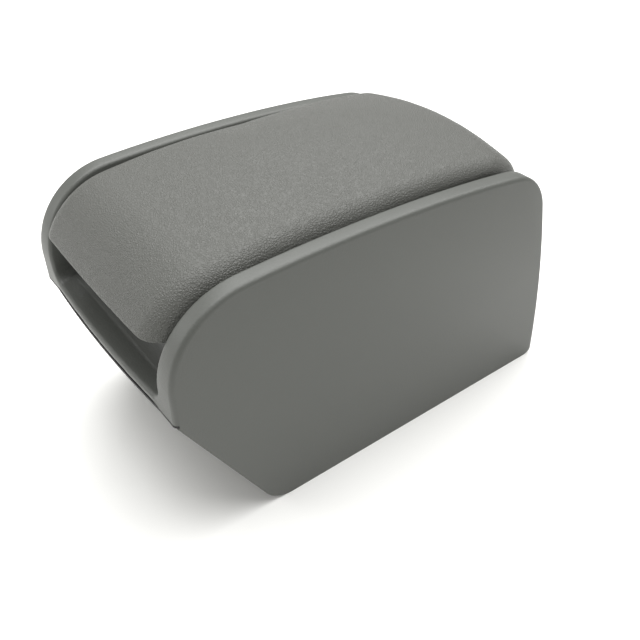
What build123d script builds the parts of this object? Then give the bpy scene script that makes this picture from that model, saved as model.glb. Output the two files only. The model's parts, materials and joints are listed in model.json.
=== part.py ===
from build123d import *
from math import acos, asin, degrees, hypot
import os

# Car centre armrest: a moulded shell with two cheeks, a storage bin between them and a padded lid
# that swings up about a rod hinge at the rear. Millimetres, front at -Y, up +Z, origin under the middle.

# Shell
overall_length = 310.0
half_width = 90.0
top_half_width = 88.0
rim_height = 178.0
wall = 3.0
rim_fillet = 3.2
inner_rim_fillet = 2.5
front_foot_reach = 13.0
front_foot_dip = 0.28
rear_foot_reach = 9.0
rear_foot_dip = 0.31
lip_height = 105.0
lip_bow = 2.5
lip_thickness = 5.5
lip_fillet = 2.4
overhang = 60.0
front_straight = 18.0
front_arc_radius = 54.0
crest_slope = 3.5
crest_fall = 8.0
rear_lean = 2.0
rear_bow_radius = 680.0
rear_bow_angle = 12.0
rear_radius = 39.0
rear_wall_height = 137.5

# Pocket between the cheeks, wider at the rim than at the lip
pocket_top_half = 76.0
pocket_lip_half = 70.0
cheek_flange = 2.5
cheek_flange_foot = 100.0
mouth_corner = 10.0
mouth_corner_depth = 27.0

# Finger scoop behind the lip
scoop_wall = 3.0
scoop_sag = 8.0
scoop_deck = 9.0
scoop_root = 7.0
lip_depth = 5.0

# Black sealing strip in a rebate under the lip
seal_height = 2.0
seal_depth = 2.5
seal_clearance = 0.1
seal_bow_share = 0.75

# Storage bin
bin_wall = 2.5
bin_top = 142.5
bin_bottom = 30.0
bin_half = 64.5
bin_front_inset = 48.0
bin_front_rake = 11.5
bin_corner = 7.0
bin_flange = 2.5
bin_flange_gap = 1.1
bin_deck_inset = 37.5
ledge_half = 65.5
mat_thickness = 2.0
mat_gap = 0.6
mat_corner = 5.0

# Pressed-steel base plate, its bolts and its screws
plate_thickness = 3.0
plate_half = 78.0
plate_front_inset = 16.0
plate_rear_inset = 17.0
plate_corner = 12.0
plate_window_radius = 12.0
plate_window_pitch = 48.0
plate_windows = 3
bolt_pitch_x = 90.0
bolt_pitch_y = 150.0
bolt_hole_radius = 3.3
bolt_boss_radius = 8.0
bolt_access_radius = 9.0
bolt_centre_y = 20.0
foot_screw_pitch_x = 100.0
foot_screw_pitch_y = 110.0
foot_boss_radius = 5.0

# Screws
screw_radius = 1.5
screw_clearance = 0.05
screw_head_radius = 3.2
screw_head_height = 1.2

# Lid
lid_half = 72.2
lid_front_inset = 0.5
lid_rear_inset = 23.5
lid_edge = 1.5
lid_front_rise = 66.0
lid_front_radius = 56.0
lid_crest_slope = 9.4
lid_rear_radius = 30.5
lid_rear_straight = 6.0
lid_root_front_depth = 38.0
lid_root_rear_depth = 36.0
lid_sag = 10.6
lid_shoulder = 14.3
lid_end_bow = 1.5
lid_end_corner = 15.0
lid_front_blend = 0.5
lid_rear_blend = 0.12
lid_stations = (0, 0.08, 0.16, 0.26, 0.4, 0.55, 0.7, 0.82, 0.9, 0.95, 1)
cover_thickness = 2.0
foam_clearance = 0.2
carrier_thickness = 3.0
panel_thickness = 2.2
panel_half = 69.5
panel_front_inset = 32.0
panel_rear_inset = 37.0
panel_corner = 8.0
panel_screw_x = 58.0
panel_screw_pitch = 80.0

# Hinge across the rear of the bin
hinge_inset = 26.0
rod_radius = 2.0
rod_clearance = 0.05
lid_knuckle_radius = 4.2
base_knuckle_radius = 3.8
knuckle_count = 7
knuckle_gap = 0.4
hinge_half = 56.0
leaf_thickness = 2.0
lid_leaf_length = 31.5
base_leaf_length = 30.5
leaf_relief = 0.8
leaf_screw_edge = 7.0
leaf_screw_pitch = 28.0
leaf_screws = 4
rod_overhang = 1.0

# Catch and stops
seat_gap = 0.3
striker_half = 16.0
striker_length = 8.0
striker_thickness = 1.0
striker_screw_x = 12.5
magnet_half = 8.0
magnet_length = 6.0
striker_room = 1.0
stop_radius = 3.0
front_stop_inset = 19.0
rear_stop_inset = 67.0
front_bin_screw_inset = 45.0
rear_bin_screw_inset = 33.0

# Places worked out from the sizes above
front_y = -overall_length / 2
rear_y = overall_length / 2
cheek_front = front_y + lip_bow
foot_front = cheek_front + overhang
lip_top = lip_height + lip_thickness
overhang_slope = overhang / lip_height
pocket_slope = (pocket_top_half - pocket_lip_half) / (rim_height - lip_height)
side_slope = (half_width - top_half_width) / rim_height
hinge_y = rear_y - hinge_inset
hinge_z = bin_top
lid_front = -front_y - lid_front_inset
lid_rear = rear_y - lid_rear_inset
lid_root_front = lid_front - lid_root_front_depth
lid_root_rear = lid_rear - lid_root_rear_depth
panel_front = lid_front - panel_front_inset
panel_rear = lid_rear - panel_rear_inset
lid_base = hinge_z + lid_knuckle_radius
panel_base = lid_base - panel_thickness
bin_front = -front_y - bin_front_inset
bin_deck_front = -front_y - bin_deck_inset
bin_rear = hinge_y - lid_knuckle_radius - knuckle_gap
ledge_top = bin_top - bin_flange
flange_half = pocket_lip_half + (ledge_top - lip_height) * pocket_slope - bin_flange_gap
flange_screw_x = (flange_half + ledge_half) / 2
bin_floor = bin_bottom + bin_wall
seal_rear = cheek_front + seal_depth
lip_half = pocket_lip_half + cheek_flange / 2
seal_half = half_width - lip_height * side_slope - seal_clearance
seal_reach = seal_depth - seal_clearance
seal_bow = cheek_front - lip_bow * seal_bow_share
panel_centre = (panel_rear - panel_front) / 2
striker_y = -bin_deck_front + striker_length / 2
plate_front = -foot_front - plate_front_inset
plate_rear = rear_y - plate_rear_inset
stop_y = (front_stop_inset - bin_deck_front, hinge_y - rear_stop_inset)
bin_screw_ends = (front_bin_screw_inset - bin_deck_front, bin_rear - rear_bin_screw_inset)
bin_screw_y = (bin_screw_ends[0], sum(bin_screw_ends) / 2, bin_screw_ends[1])
mat_front = bin_front_rake - bin_front + bin_corner + mat_gap
mat_rear = bin_rear - bin_corner - mat_gap
tall = 2 * rim_height

os.makedirs("parts", exist_ok=True)


def pocket_half(z):
    """Half width of the pocket between the cheeks at a height."""
    return pocket_lip_half + (z - lip_height) * pocket_slope


def side_half(z):
    """Half width of the outside of the shell at a height."""
    return half_width - z * side_slope


def flange_outer(z):
    """Half width to the outside of a cheek's inner flange at a height."""
    return pocket_half(z) + cheek_flange


def flange_middle(z):
    """Half width to the middle of a cheek's inner flange at a height."""
    return pocket_half(z) + cheek_flange / 2


def ledge_edge(z):
    """Half width to the edge of the ledge under the bin's flange, the same at every height."""
    return ledge_half


def corner_foot(z):
    """Half width to the foot of the mouth's rounded lower corners, the same at every height."""
    return pocket_half(lip_top) - mouth_corner


def centre_line(z):
    """The middle plane, for bands that meet there."""
    return 0


def apron(z):
    """Y of the slanted front of the shell under the lip at a height."""
    return foot_front - z * overhang_slope


def side_outline(drop, inset):
    """Side outline of the shell, with its foot drawn lower by the drop and its other sides inset."""
    apron_inset = inset * hypot(1, overhang_slope)
    with BuildSketch() as outline:
        with BuildLine():
            front = Line(
                (cheek_front + inset, (overhang + apron_inset - inset) / overhang_slope),
                (cheek_front + inset, lip_height + front_straight),
            )
            nose = JernArc(front @ 1, (0, 1), front_arc_radius - inset, crest_slope - 90)
            bow_centre = Vector(rear_y, 0) - Vector(rear_bow_radius, 0).rotate(Axis.Z, rear_lean)
            bow_start = degrees(asin((-drop - bow_centre.Y) / (rear_bow_radius - inset)))
            bow_end = rear_lean + rear_bow_angle
            rear = CenterArc(bow_centre, rear_bow_radius - inset, bow_start, bow_end - bow_start)
            shoulder = JernArc(rear @ 1, rear % 1, rear_radius - inset, 90 - bow_end - crest_fall)
            Spline(nose @ 1, shoulder @ 1, tangents=(nose % 1, (shoulder % 1) * -1))
            foot = Line(rear @ 0, (apron(-drop) + apron_inset, -drop))
            Line(foot @ 1, front @ 0)
        make_face()
    return outline.sketch


def foot_relief(corner, along, back, dip):
    """Area cut from a foot of the side outline to round it, between a point along each of its edges."""
    with BuildSketch() as relief:
        with BuildLine():
            ThreePointArc(corner + along, corner + (along + back) * dip, corner + back)
            Polyline(corner + back, corner - along - back, corner + along)
        make_face()
    return relief.sketch


def front_band(inner, outer, low, high):
    """Two mirrored bands of the front view, between two half widths given as functions of height."""
    with BuildSketch() as band:
        with BuildLine():
            Polyline(
                (inner(low), low), (outer(low), low), (outer(high), high), (inner(high), high), close=True
            )
        make_face()
        mirror(about=Plane.YZ)
    return band.sketch


def screws(places, length, name):
    """A group of pan-head screws, each at a plane whose normal points out of the head."""
    with BuildPart() as group:
        for place in places:
            with BuildSketch(place):
                Circle(screw_head_radius)
            extrude(amount=screw_head_height)
            with BuildSketch(place):
                Circle(screw_radius)
            extrude(amount=-length)
    group.part.label = name
    export_step(group.part, f"parts/{name}.step")


def screw_holes(places, depth):
    """Clearance holes for a group of screws, to be cut from what they pass through."""
    with BuildPart() as holes:
        for place in places:
            with BuildSketch(place):
                Circle(screw_radius + screw_clearance)
            extrude(amount=-depth)
    return holes.part


def lid_block(inset, base):
    """Padded form of the lid: arched sections set square to its crown line, inset evenly."""
    with BuildLine() as crown:
        nose = JernArc(
            (-lid_front, lid_base + lid_edge),
            Vector(1, 0).rotate(Axis.Z, lid_front_rise),
            lid_front_radius,
            lid_crest_slope - lid_front_rise,
        )
        rear = Line((lid_rear, lid_base), (lid_rear, lid_base + lid_rear_straight))
        shoulder = JernArc(rear @ 1, (0, 1), lid_rear_radius, 90 - lid_crest_slope)
        Spline(nose @ 1, shoulder @ 1, tangents=(nose % 1, (shoulder % 1) * -1))
    crown_line = crown.wires()[0]
    with BuildPart() as block:
        for share in lid_stations:
            crest = crown_line @ share
            root = Vector(-lid_root_front + share * (lid_root_front + lid_root_rear), base)
            reach = crest - root
            height = reach.length - inset
            full = min(1, (share / lid_front_blend) ** 2, (1 - share) / lid_rear_blend)
            sag = lid_end_bow + (lid_sag - lid_end_bow) * full
            corner = lid_end_corner + (lid_shoulder - lid_end_corner) * full - inset
            half = lid_half - inset
            place = Plane((0, root.X, root.Y), x_dir=(1, 0, 0), z_dir=(0, -reach.Y, reach.X))
            with BuildSketch(place) as section:
                with BuildLine():
                    side = Line((half, 0), (half, height - sag))
                    arch = ThreePointArc(side @ 1, (0, height), (-half, height - sag))
                    Polyline(arch @ 1, (-half, 0), side @ 0)
                make_face()
                fillet(section.vertices().sort_by(Axis.Y)[-2:], corner)
        loft()
    return block.part


# Places of the screws, each plane on the face that its head sits on
bin_screw_places = [
    Plane((side * flange_screw_x, y, bin_top), z_dir=(0, 0, 1)) for side in (-1, 1) for y in bin_screw_y
]
foot_screw_places = [
    Plane((x, bolt_centre_y + y, bin_floor), z_dir=(0, 0, 1))
    for x in (-foot_screw_pitch_x / 2, foot_screw_pitch_x / 2)
    for y in (-foot_screw_pitch_y / 2, foot_screw_pitch_y / 2)
]
panel_screw_places = [
    Plane((side * panel_screw_x, panel_centre + row * panel_screw_pitch, panel_base), z_dir=(0, 0, -1))
    for side in (-1, 1)
    for row in (-1, 0, 1)
]
leaf_screw_x = [(index - (leaf_screws - 1) / 2) * leaf_screw_pitch for index in range(leaf_screws)]
lid_leaf_screw_places = [
    Plane((x, hinge_y - lid_leaf_length + leaf_screw_edge, lid_base - leaf_thickness), z_dir=(0, 0, -1))
    for x in leaf_screw_x
]
base_leaf_screw_places = [
    Plane((x, bin_rear + leaf_thickness, hinge_z - base_leaf_length + leaf_screw_edge), z_dir=(0, 1, 0))
    for x in leaf_screw_x
]
striker_screw_places = [
    Plane((x, striker_y, bin_top + striker_thickness), z_dir=(0, 0, 1))
    for x in (-striker_screw_x, striker_screw_x)
]


# Hollow under the outer skin, with the cheeks' inner flanges left standing
with BuildPart() as hollow:
    with BuildSketch(Plane.YZ):
        add(side_outline(wall, wall))
    extrude(amount=half_width, both=True)
    with BuildSketch(Plane.XZ):
        with BuildLine():
            Polyline(
                (wall - side_half(-wall), -wall),
                (side_half(-wall) - wall, -wall),
                (side_half(tall) - wall, tall),
                (wall - side_half(tall), tall),
                close=True,
            )
        make_face()
    extrude(amount=overall_length, both=True, mode=Mode.INTERSECT)
    with BuildSketch(Plane.XZ):
        add(front_band(pocket_half, flange_outer, cheek_flange_foot, tall))
    extrude(amount=overall_length, both=True, mode=Mode.SUBTRACT)
    with BuildSketch(Plane.XZ.offset(-cheek_front)):
        add(front_band(corner_foot, pocket_half, lip_top - wall, lip_top + mouth_corner))
    extrude(amount=-mouth_corner_depth, mode=Mode.SUBTRACT)

# Finger scoop: a concave ramp from the lip up to the deck in front of the bin
with BuildPart() as scoop:
    with BuildSketch(Plane.YZ):
        with BuildLine():
            ramp_foot = Vector(cheek_front + wall, lip_top)
            ramp_head = Vector(-bin_deck_front - seat_gap, ledge_top)
            dip = (ramp_head - ramp_foot).normalized().rotate(Axis.Z, -90)
            middle = (ramp_foot + ramp_head) / 2
            under_head = ramp_head + Vector(scoop_wall, -scoop_wall)
            under_foot = ramp_foot + Vector(lip_depth, -scoop_wall)
            ThreePointArc(ramp_foot, middle + dip * scoop_sag, ramp_head)
            Polyline(
                ramp_head,
                ramp_head + Vector(scoop_deck, 0),
                ramp_head + Vector(scoop_deck, -scoop_wall),
                under_head,
            )
            ThreePointArc(under_head, middle + dip * (scoop_sag + scoop_wall), under_foot)
            Polyline(
                under_foot,
                (under_foot.X, lip_height - scoop_root),
                (apron(lip_height - scoop_root) + wall / 2, lip_height - scoop_root),
                (seal_rear, lip_height - seal_height),
                (seal_rear, lip_height),
                ramp_foot,
            )
        make_face()
    extrude(amount=half_width, both=True)
    with BuildSketch(Plane.XZ):
        add(front_band(centre_line, flange_middle, cheek_flange_foot - scoop_root, tall))
    extrude(amount=overall_length, both=True, mode=Mode.INTERSECT)

# Bowed lip with a rounded nose, across the mouth between the cheeks
with BuildPart() as lip:
    with BuildSketch(Plane.XY.offset(lip_height)):
        with BuildLine():
            bow = ThreePointArc((-lip_half, cheek_front), (0, front_y), (lip_half, cheek_front))
            lip_rear = cheek_front + lip_depth
            Polyline(bow @ 1, (lip_half, lip_rear), (-lip_half, lip_rear), bow @ 0)
        make_face()
    extrude(amount=lip_thickness)
    fillet(lip.edges().filter_by(GeomType.CIRCLE), lip_fillet)

# Outer shell: one moulding with the cheeks, the rear wall, the slanted apron, the scoop and the lip
with BuildPart() as outer_shell:
    with BuildSketch(Plane.YZ):
        add(side_outline(0, 0))
    extrude(amount=half_width, both=True)
    with BuildSketch(Plane.XZ):
        add(front_band(centre_line, side_half, 0, tall))
    extrude(amount=overall_length, both=True, mode=Mode.INTERSECT)
    for side in (0, -1):
        rim = outer_shell.faces().sort_by(Axis.X)[side].edges()
        above = rim.filter_by(lambda edge: edge.center().Z > lip_height or edge.center().Y > plate_rear)
        fillet(above, rim_fillet)
    with BuildSketch(Plane.YZ):
        front_foot = Vector(foot_front, 0)
        up_apron = Vector(-overhang_slope, 1).normalized() * front_foot_reach
        add(foot_relief(front_foot, Vector(front_foot_reach, 0), up_apron, front_foot_dip))
        rear_foot = Vector(rear_y, 0)
        up_rear = Vector(0, rear_foot_reach)
        add(foot_relief(rear_foot, Vector(-rear_foot_reach, 0), up_rear, rear_foot_dip))
    extrude(amount=half_width, both=True, mode=Mode.SUBTRACT)
    with BuildSketch(Plane.XZ) as mouth:
        add(front_band(centre_line, pocket_half, lip_top, tall))
        low = mouth.vertices().filter_by(lambda spot: spot.Y < rim_height)
        fillet(low.filter_by(lambda spot: abs(spot.X) > mouth_corner), mouth_corner)
    extrude(amount=overall_length, mode=Mode.SUBTRACT)
    with BuildSketch(Plane.XZ):
        add(front_band(centre_line, pocket_half, rear_wall_height, tall))
    extrude(amount=-overall_length, mode=Mode.SUBTRACT)
    faces = outer_shell.faces()
    walls = faces.filter_by(lambda face: pocket_lip_half < abs(face.center().X) < pocket_top_half)
    top = walls.edges().filter_by(lambda edge: edge.center().Z > rear_wall_height + inner_rim_fillet)
    front = walls.edges().filter_by(lambda edge: edge.center().Y < cheek_front + inner_rim_fillet)
    fillet(top + front, inner_rim_fillet)
    add(hollow.part, mode=Mode.SUBTRACT)
    add(scoop.part)
    add(lip.part)
    with BuildSketch(Plane.XZ.offset(-bin_rear)):
        add(front_band(ledge_edge, flange_middle, ledge_top - scoop_wall, ledge_top))
    extrude(amount=bin_rear + bin_deck_front - scoop_deck)
    with BuildSketch(Plane.XY.offset(lip_height - seal_height)):
        with Locations((0, seal_rear)):
            Rectangle(2 * half_width, overhang, align=(Align.CENTER, Align.MAX))
    extrude(amount=seal_height, mode=Mode.SUBTRACT)
    add(screw_holes(bin_screw_places, bin_flange + scoop_wall), mode=Mode.SUBTRACT)
outer_shell.part.label = "outer_shell"
export_step(outer_shell.part, "parts/outer_shell.step")

# Sealing strip in the rebate under the lip, across the whole front
with BuildPart() as lip_seal:
    with BuildSketch(Plane.XY.offset(lip_height - seal_height)) as strip:
        with BuildLine():
            bow = ThreePointArc((0, front_y), (lip_half / 2, seal_bow), (lip_half, cheek_front))
            straight = Line(bow @ 1, (seal_half - rim_fillet, cheek_front))
            corner = JernArc(straight @ 1, (1, 0), rim_fillet, degrees(acos(1 - seal_reach / rim_fillet)))
            Polyline(corner @ 1, (0, seal_rear - seal_clearance), bow @ 0)
        make_face()
        mirror(about=Plane.YZ)
    extrude(amount=seal_height - seal_clearance)
lip_seal.part.label = "lip_seal"
export_step(lip_seal.part, "parts/lip_seal.step")

# Room inside the storage bin
with BuildPart() as bin_room:
    with BuildSketch(Plane.YZ):
        with BuildLine():
            Polyline(
                (bin_wall - bin_front, bin_top),
                (bin_wall - bin_front + bin_front_rake, bin_floor),
                (bin_rear - bin_wall, bin_floor),
                (bin_rear - bin_wall, bin_top),
                close=True,
            )
        make_face()
    extrude(amount=bin_half - bin_wall, both=True)
    fillet(bin_room.edges().filter_by(lambda edge: edge.center().Z < ledge_top), bin_corner - bin_wall)

# Storage bin: a deep tub with a flange that sits on the shell's ledge and on the deck behind the scoop
with BuildPart() as storage_bin:
    with BuildSketch(Plane.YZ):
        with BuildLine():
            Polyline(
                (-bin_front, bin_top),
                (bin_front_rake - bin_front, bin_bottom),
                (bin_rear, bin_bottom),
                (bin_rear, bin_top),
                close=True,
            )
        make_face()
    extrude(amount=bin_half, both=True)
    fillet(storage_bin.edges().filter_by(lambda edge: edge.center().Z < ledge_top), bin_corner)
    with BuildSketch(Plane.XY.offset(ledge_top)):
        with Locations((0, -bin_deck_front)):
            flange_length = bin_deck_front + bin_rear - bin_corner
            Rectangle(2 * flange_half, flange_length, align=(Align.CENTER, Align.MIN))
    extrude(amount=bin_flange)
    with BuildSketch(Plane.XY.offset(plate_thickness)):
        with Locations((0, bolt_centre_y)):
            with GridLocations(bolt_pitch_x, bolt_pitch_y, 2, 2):
                Circle(bolt_boss_radius)
            with GridLocations(foot_screw_pitch_x, foot_screw_pitch_y, 2, 2):
                Circle(foot_boss_radius)
    extrude(amount=bin_floor - plate_thickness)
    add(bin_room.part, mode=Mode.SUBTRACT)
    with BuildSketch(Plane.XY):
        with Locations((0, bolt_centre_y)):
            with GridLocations(bolt_pitch_x, bolt_pitch_y, 2, 2):
                Circle(bolt_hole_radius)
    extrude(amount=bin_floor, mode=Mode.SUBTRACT)
    add(screw_holes(foot_screw_places, bin_floor), mode=Mode.SUBTRACT)
    add(screw_holes(bin_screw_places, bin_flange), mode=Mode.SUBTRACT)
    add(screw_holes(base_leaf_screw_places, leaf_thickness + bin_wall), mode=Mode.SUBTRACT)
    add(screw_holes(striker_screw_places, striker_thickness + bin_flange), mode=Mode.SUBTRACT)
storage_bin.part.label = "storage_bin"
export_step(storage_bin.part, "parts/storage_bin.step")

# Rubber mat on the bin's floor, with access holes over the bolts and the screw heads
with BuildPart() as bin_mat:
    with BuildSketch(Plane.XY.offset(bin_floor)):
        with Locations((0, mat_front)):
            RectangleRounded(
                2 * (bin_half - bin_corner - mat_gap),
                mat_rear - mat_front,
                mat_corner,
                align=(Align.CENTER, Align.MIN),
            )
        with Locations((0, bolt_centre_y)):
            with GridLocations(bolt_pitch_x, bolt_pitch_y, 2, 2):
                Circle(bolt_access_radius, mode=Mode.SUBTRACT)
            with GridLocations(foot_screw_pitch_x, foot_screw_pitch_y, 2, 2):
                Circle(screw_head_radius + mat_gap, mode=Mode.SUBTRACT)
    extrude(amount=mat_thickness)
bin_mat.part.label = "bin_mat"
export_step(bin_mat.part, "parts/bin_mat.step")

# Base plate that bolts to the car's floor
with BuildPart() as base_plate:
    with BuildSketch(Plane.XY):
        with Locations((0, -plate_front)):
            RectangleRounded(
                2 * plate_half, plate_front + plate_rear, plate_corner, align=(Align.CENTER, Align.MIN)
            )
        with Locations((0, bolt_centre_y)):
            with GridLocations(bolt_pitch_x, bolt_pitch_y, 2, 2):
                Circle(bolt_hole_radius, mode=Mode.SUBTRACT)
            with GridLocations(1, plate_window_pitch, 1, plate_windows):
                Circle(plate_window_radius, mode=Mode.SUBTRACT)
    extrude(amount=plate_thickness)
    add(screw_holes(foot_screw_places, bin_floor), mode=Mode.SUBTRACT)
base_plate.part.label = "base_plate"
export_step(base_plate.part, "parts/base_plate.step")

screws(foot_screw_places, bin_floor - screw_head_height, "base_plate_screws")
screws(bin_screw_places, bin_flange + scoop_wall, "bin_flange_screws")


def knuckle_bands(parity, spread):
    """X spans of every other hinge knuckle, each as its start and its length."""
    pitch = 2 * hinge_half / knuckle_count
    starts = [index * pitch - hinge_half for index in range(parity, knuckle_count, 2)]
    return [(start - spread, pitch + 2 * spread) for start in starts]


def knuckles(parity, radius):
    """The solid knuckles of one leaf."""
    with BuildPart() as barrels:
        for start, length in knuckle_bands(parity, -knuckle_gap / 2):
            with BuildSketch(Plane.YZ.offset(start)):
                with Locations((hinge_y, hinge_z)):
                    Circle(radius)
            extrude(amount=length)
    return barrels.part


def knuckle_room(parity):
    """The room that one leaf leaves for the other leaf's knuckles."""
    reach = 2 * (lid_knuckle_radius + leaf_relief)
    with BuildPart() as room:
        for start, length in knuckle_bands(parity, knuckle_gap / 2):
            with BuildSketch(Plane.YZ.offset(start)):
                with Locations((hinge_y, hinge_z)):
                    Rectangle(reach, reach)
            extrude(amount=length)
    return room.part


# Base leaf of the hinge, screwed to the bin's rear wall
with BuildPart() as hinge_base_leaf:
    with BuildSketch(Plane.YZ):
        with Locations((bin_rear, hinge_z)):
            Rectangle(leaf_thickness, base_leaf_length, align=(Align.MIN, Align.MAX))
    extrude(amount=hinge_half, both=True)
    add(knuckle_room(1), mode=Mode.SUBTRACT)
    add(knuckles(0, base_knuckle_radius))
    with BuildSketch(Plane.YZ):
        with Locations((hinge_y, hinge_z)):
            Circle(rod_radius + rod_clearance)
    extrude(amount=hinge_half, both=True, mode=Mode.SUBTRACT)
    add(screw_holes(base_leaf_screw_places, leaf_thickness), mode=Mode.SUBTRACT)
hinge_base_leaf.part.label = "hinge_base_leaf"
export_step(hinge_base_leaf.part, "parts/hinge_base_leaf.step")

# Lid leaf of the hinge, screwed under the lid's carrier
with BuildPart() as hinge_lid_leaf:
    with BuildSketch(Plane.YZ):
        with Locations((hinge_y, lid_base)):
            Rectangle(lid_leaf_length, leaf_thickness, align=(Align.MAX, Align.MAX))
    extrude(amount=hinge_half, both=True)
    add(knuckle_room(0), mode=Mode.SUBTRACT)
    add(knuckles(1, lid_knuckle_radius))
    with BuildSketch(Plane.YZ):
        with Locations((hinge_y, hinge_z)):
            Circle(rod_radius + rod_clearance)
    extrude(amount=hinge_half, both=True, mode=Mode.SUBTRACT)
    add(screw_holes(lid_leaf_screw_places, leaf_thickness), mode=Mode.SUBTRACT)
hinge_lid_leaf.part.label = "hinge_lid_leaf"
export_step(hinge_lid_leaf.part, "parts/hinge_lid_leaf.step")

# Hinge rod through all the knuckles
with BuildPart() as hinge_rod:
    with BuildSketch(Plane.YZ):
        with Locations((hinge_y, hinge_z)):
            Circle(rod_radius)
    extrude(amount=hinge_half + rod_overhang, both=True)
hinge_rod.part.label = "hinge_rod"
export_step(hinge_rod.part, "parts/hinge_rod.step")

screws(base_leaf_screw_places, leaf_thickness + bin_wall, "hinge_base_screws")
screws(lid_leaf_screw_places, leaf_thickness + carrier_thickness, "hinge_lid_screws")

# Catch: a steel striker on the bin's deck under a magnet in the lid
with BuildPart() as catch_striker:
    with BuildSketch(Plane.XY.offset(bin_top)):
        with Locations((0, striker_y)):
            Rectangle(2 * striker_half, striker_length)
    extrude(amount=striker_thickness)
    add(screw_holes(striker_screw_places, striker_thickness), mode=Mode.SUBTRACT)
catch_striker.part.label = "catch_striker"
export_step(catch_striker.part, "parts/catch_striker.step")
screws(striker_screw_places, striker_thickness + bin_flange, "striker_screws")

with BuildPart() as catch_magnet:
    with BuildSketch(Plane.XY.offset(bin_top + striker_thickness + seat_gap)):
        with Locations((0, striker_y)):
            Rectangle(2 * magnet_half, magnet_length)
    extrude(amount=lid_base - bin_top - striker_thickness - seat_gap)
catch_magnet.part.label = "catch_magnet"
export_step(catch_magnet.part, "parts/catch_magnet.step")

# Rubber stops on the bin's flange, under the lid's inner panel
with BuildPart() as bump_stops:
    with BuildSketch(Plane.XY.offset(bin_top)):
        with Locations([(side * flange_screw_x, y) for side in (-1, 1) for y in stop_y]):
            Circle(stop_radius)
    extrude(amount=panel_base - bin_top - seat_gap)
bump_stops.part.label = "bump_stops"
export_step(bump_stops.part, "parts/bump_stops.step")

# Lid: leather cover, foam, moulded carrier and inner panel
with BuildPart() as lid_cover:
    add(lid_block(0, lid_base))
    add(lid_block(cover_thickness, lid_base - cover_thickness), mode=Mode.SUBTRACT)
lid_cover.part.label = "lid_cover"
export_step(lid_cover.part, "parts/lid_cover.step")

lid_core = lid_block(cover_thickness + foam_clearance, lid_base - cover_thickness)

with BuildPart() as foam_pad:
    add(lid_core)
    split(bisect_by=Plane.XY.offset(lid_base + carrier_thickness), keep=Keep.TOP)
foam_pad.part.label = "foam_pad"
export_step(foam_pad.part, "parts/foam_pad.step")

with BuildPart() as lid_carrier:
    add(lid_core)
    split(bisect_by=Plane.XY.offset(lid_base + carrier_thickness), keep=Keep.BOTTOM)
    split(bisect_by=Plane.XY.offset(lid_base), keep=Keep.TOP)
    add(screw_holes(lid_leaf_screw_places, leaf_thickness + carrier_thickness), mode=Mode.SUBTRACT)
    add(screw_holes(panel_screw_places, panel_thickness + carrier_thickness), mode=Mode.SUBTRACT)
lid_carrier.part.label = "lid_carrier"
export_step(lid_carrier.part, "parts/lid_carrier.step")

with BuildPart() as lid_inner_panel:
    with BuildSketch(Plane.XY.offset(panel_base)):
        with Locations((0, panel_centre)):
            RectangleRounded(2 * panel_half, panel_front + panel_rear, panel_corner)
        with Locations((0, striker_y)):
            window_length = striker_length + 2 * striker_room
            Rectangle(2 * (striker_half + striker_room), window_length, mode=Mode.SUBTRACT)
    extrude(amount=panel_thickness)
    add(screw_holes(panel_screw_places, panel_thickness), mode=Mode.SUBTRACT)
lid_inner_panel.part.label = "lid_inner_panel"
export_step(lid_inner_panel.part, "parts/lid_inner_panel.step")
screws(panel_screw_places, panel_thickness + carrier_thickness, "inner_panel_screws")
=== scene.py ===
"""Car centre armrest: grained shell, padded leather lid on a rear hinge, storage bin and its fittings."""

import json
from math import atan2, cos, hypot, pi, radians, sin, sqrt, tau

import bmesh
import bpy
import numpy as np
from bpy.props import FloatProperty, FloatVectorProperty, IntProperty, PointerProperty
from bpy.types import Operator, Panel, PropertyGroup
from mathutils import Matrix, Vector, noise

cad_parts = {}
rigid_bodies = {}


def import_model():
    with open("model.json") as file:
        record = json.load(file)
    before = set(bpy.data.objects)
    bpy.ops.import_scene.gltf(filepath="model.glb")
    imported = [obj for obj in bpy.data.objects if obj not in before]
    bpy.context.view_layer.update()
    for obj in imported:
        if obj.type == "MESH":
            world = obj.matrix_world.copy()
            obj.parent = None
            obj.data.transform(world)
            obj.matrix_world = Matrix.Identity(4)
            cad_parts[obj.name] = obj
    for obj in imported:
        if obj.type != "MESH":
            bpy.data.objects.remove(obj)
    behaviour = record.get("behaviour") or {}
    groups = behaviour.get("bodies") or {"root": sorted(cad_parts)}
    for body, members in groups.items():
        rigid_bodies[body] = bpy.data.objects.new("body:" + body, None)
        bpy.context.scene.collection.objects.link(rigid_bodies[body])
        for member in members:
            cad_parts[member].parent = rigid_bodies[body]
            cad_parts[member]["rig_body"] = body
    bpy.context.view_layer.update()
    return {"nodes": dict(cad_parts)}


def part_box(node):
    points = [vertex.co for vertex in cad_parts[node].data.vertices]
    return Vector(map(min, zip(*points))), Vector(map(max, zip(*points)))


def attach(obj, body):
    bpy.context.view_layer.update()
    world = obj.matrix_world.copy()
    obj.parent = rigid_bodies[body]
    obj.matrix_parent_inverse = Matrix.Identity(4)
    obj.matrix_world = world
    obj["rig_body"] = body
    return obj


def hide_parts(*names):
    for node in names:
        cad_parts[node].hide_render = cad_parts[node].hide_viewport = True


bl_info = {
    "name": "Car Centre Armrest",
    "version": (1, 0, 0),
    "blender": (4, 5, 0),
    "location": "View3D > Sidebar > Armrest",
    "description": "Dresses a car centre armrest: shell, padded lid, storage bin, hinge and screws",
    "category": "Add Mesh",
}

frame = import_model()
lid_low, lid_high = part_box("lid_cover")

MM = 0.001

# Corners closer than these are one corner, on the CAD meshes and on the leather
CAD_MERGE = 0.002 * MM
LEATHER_MERGE = 0.01 * MM

# Faces that turn less than the first are one flat face, and edges that turn more than the others are sharp
FLAT_ANGLE = radians(0.3)
SHARP_ANGLE = radians(38)
CREASE_ANGLE = radians(40)

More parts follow.
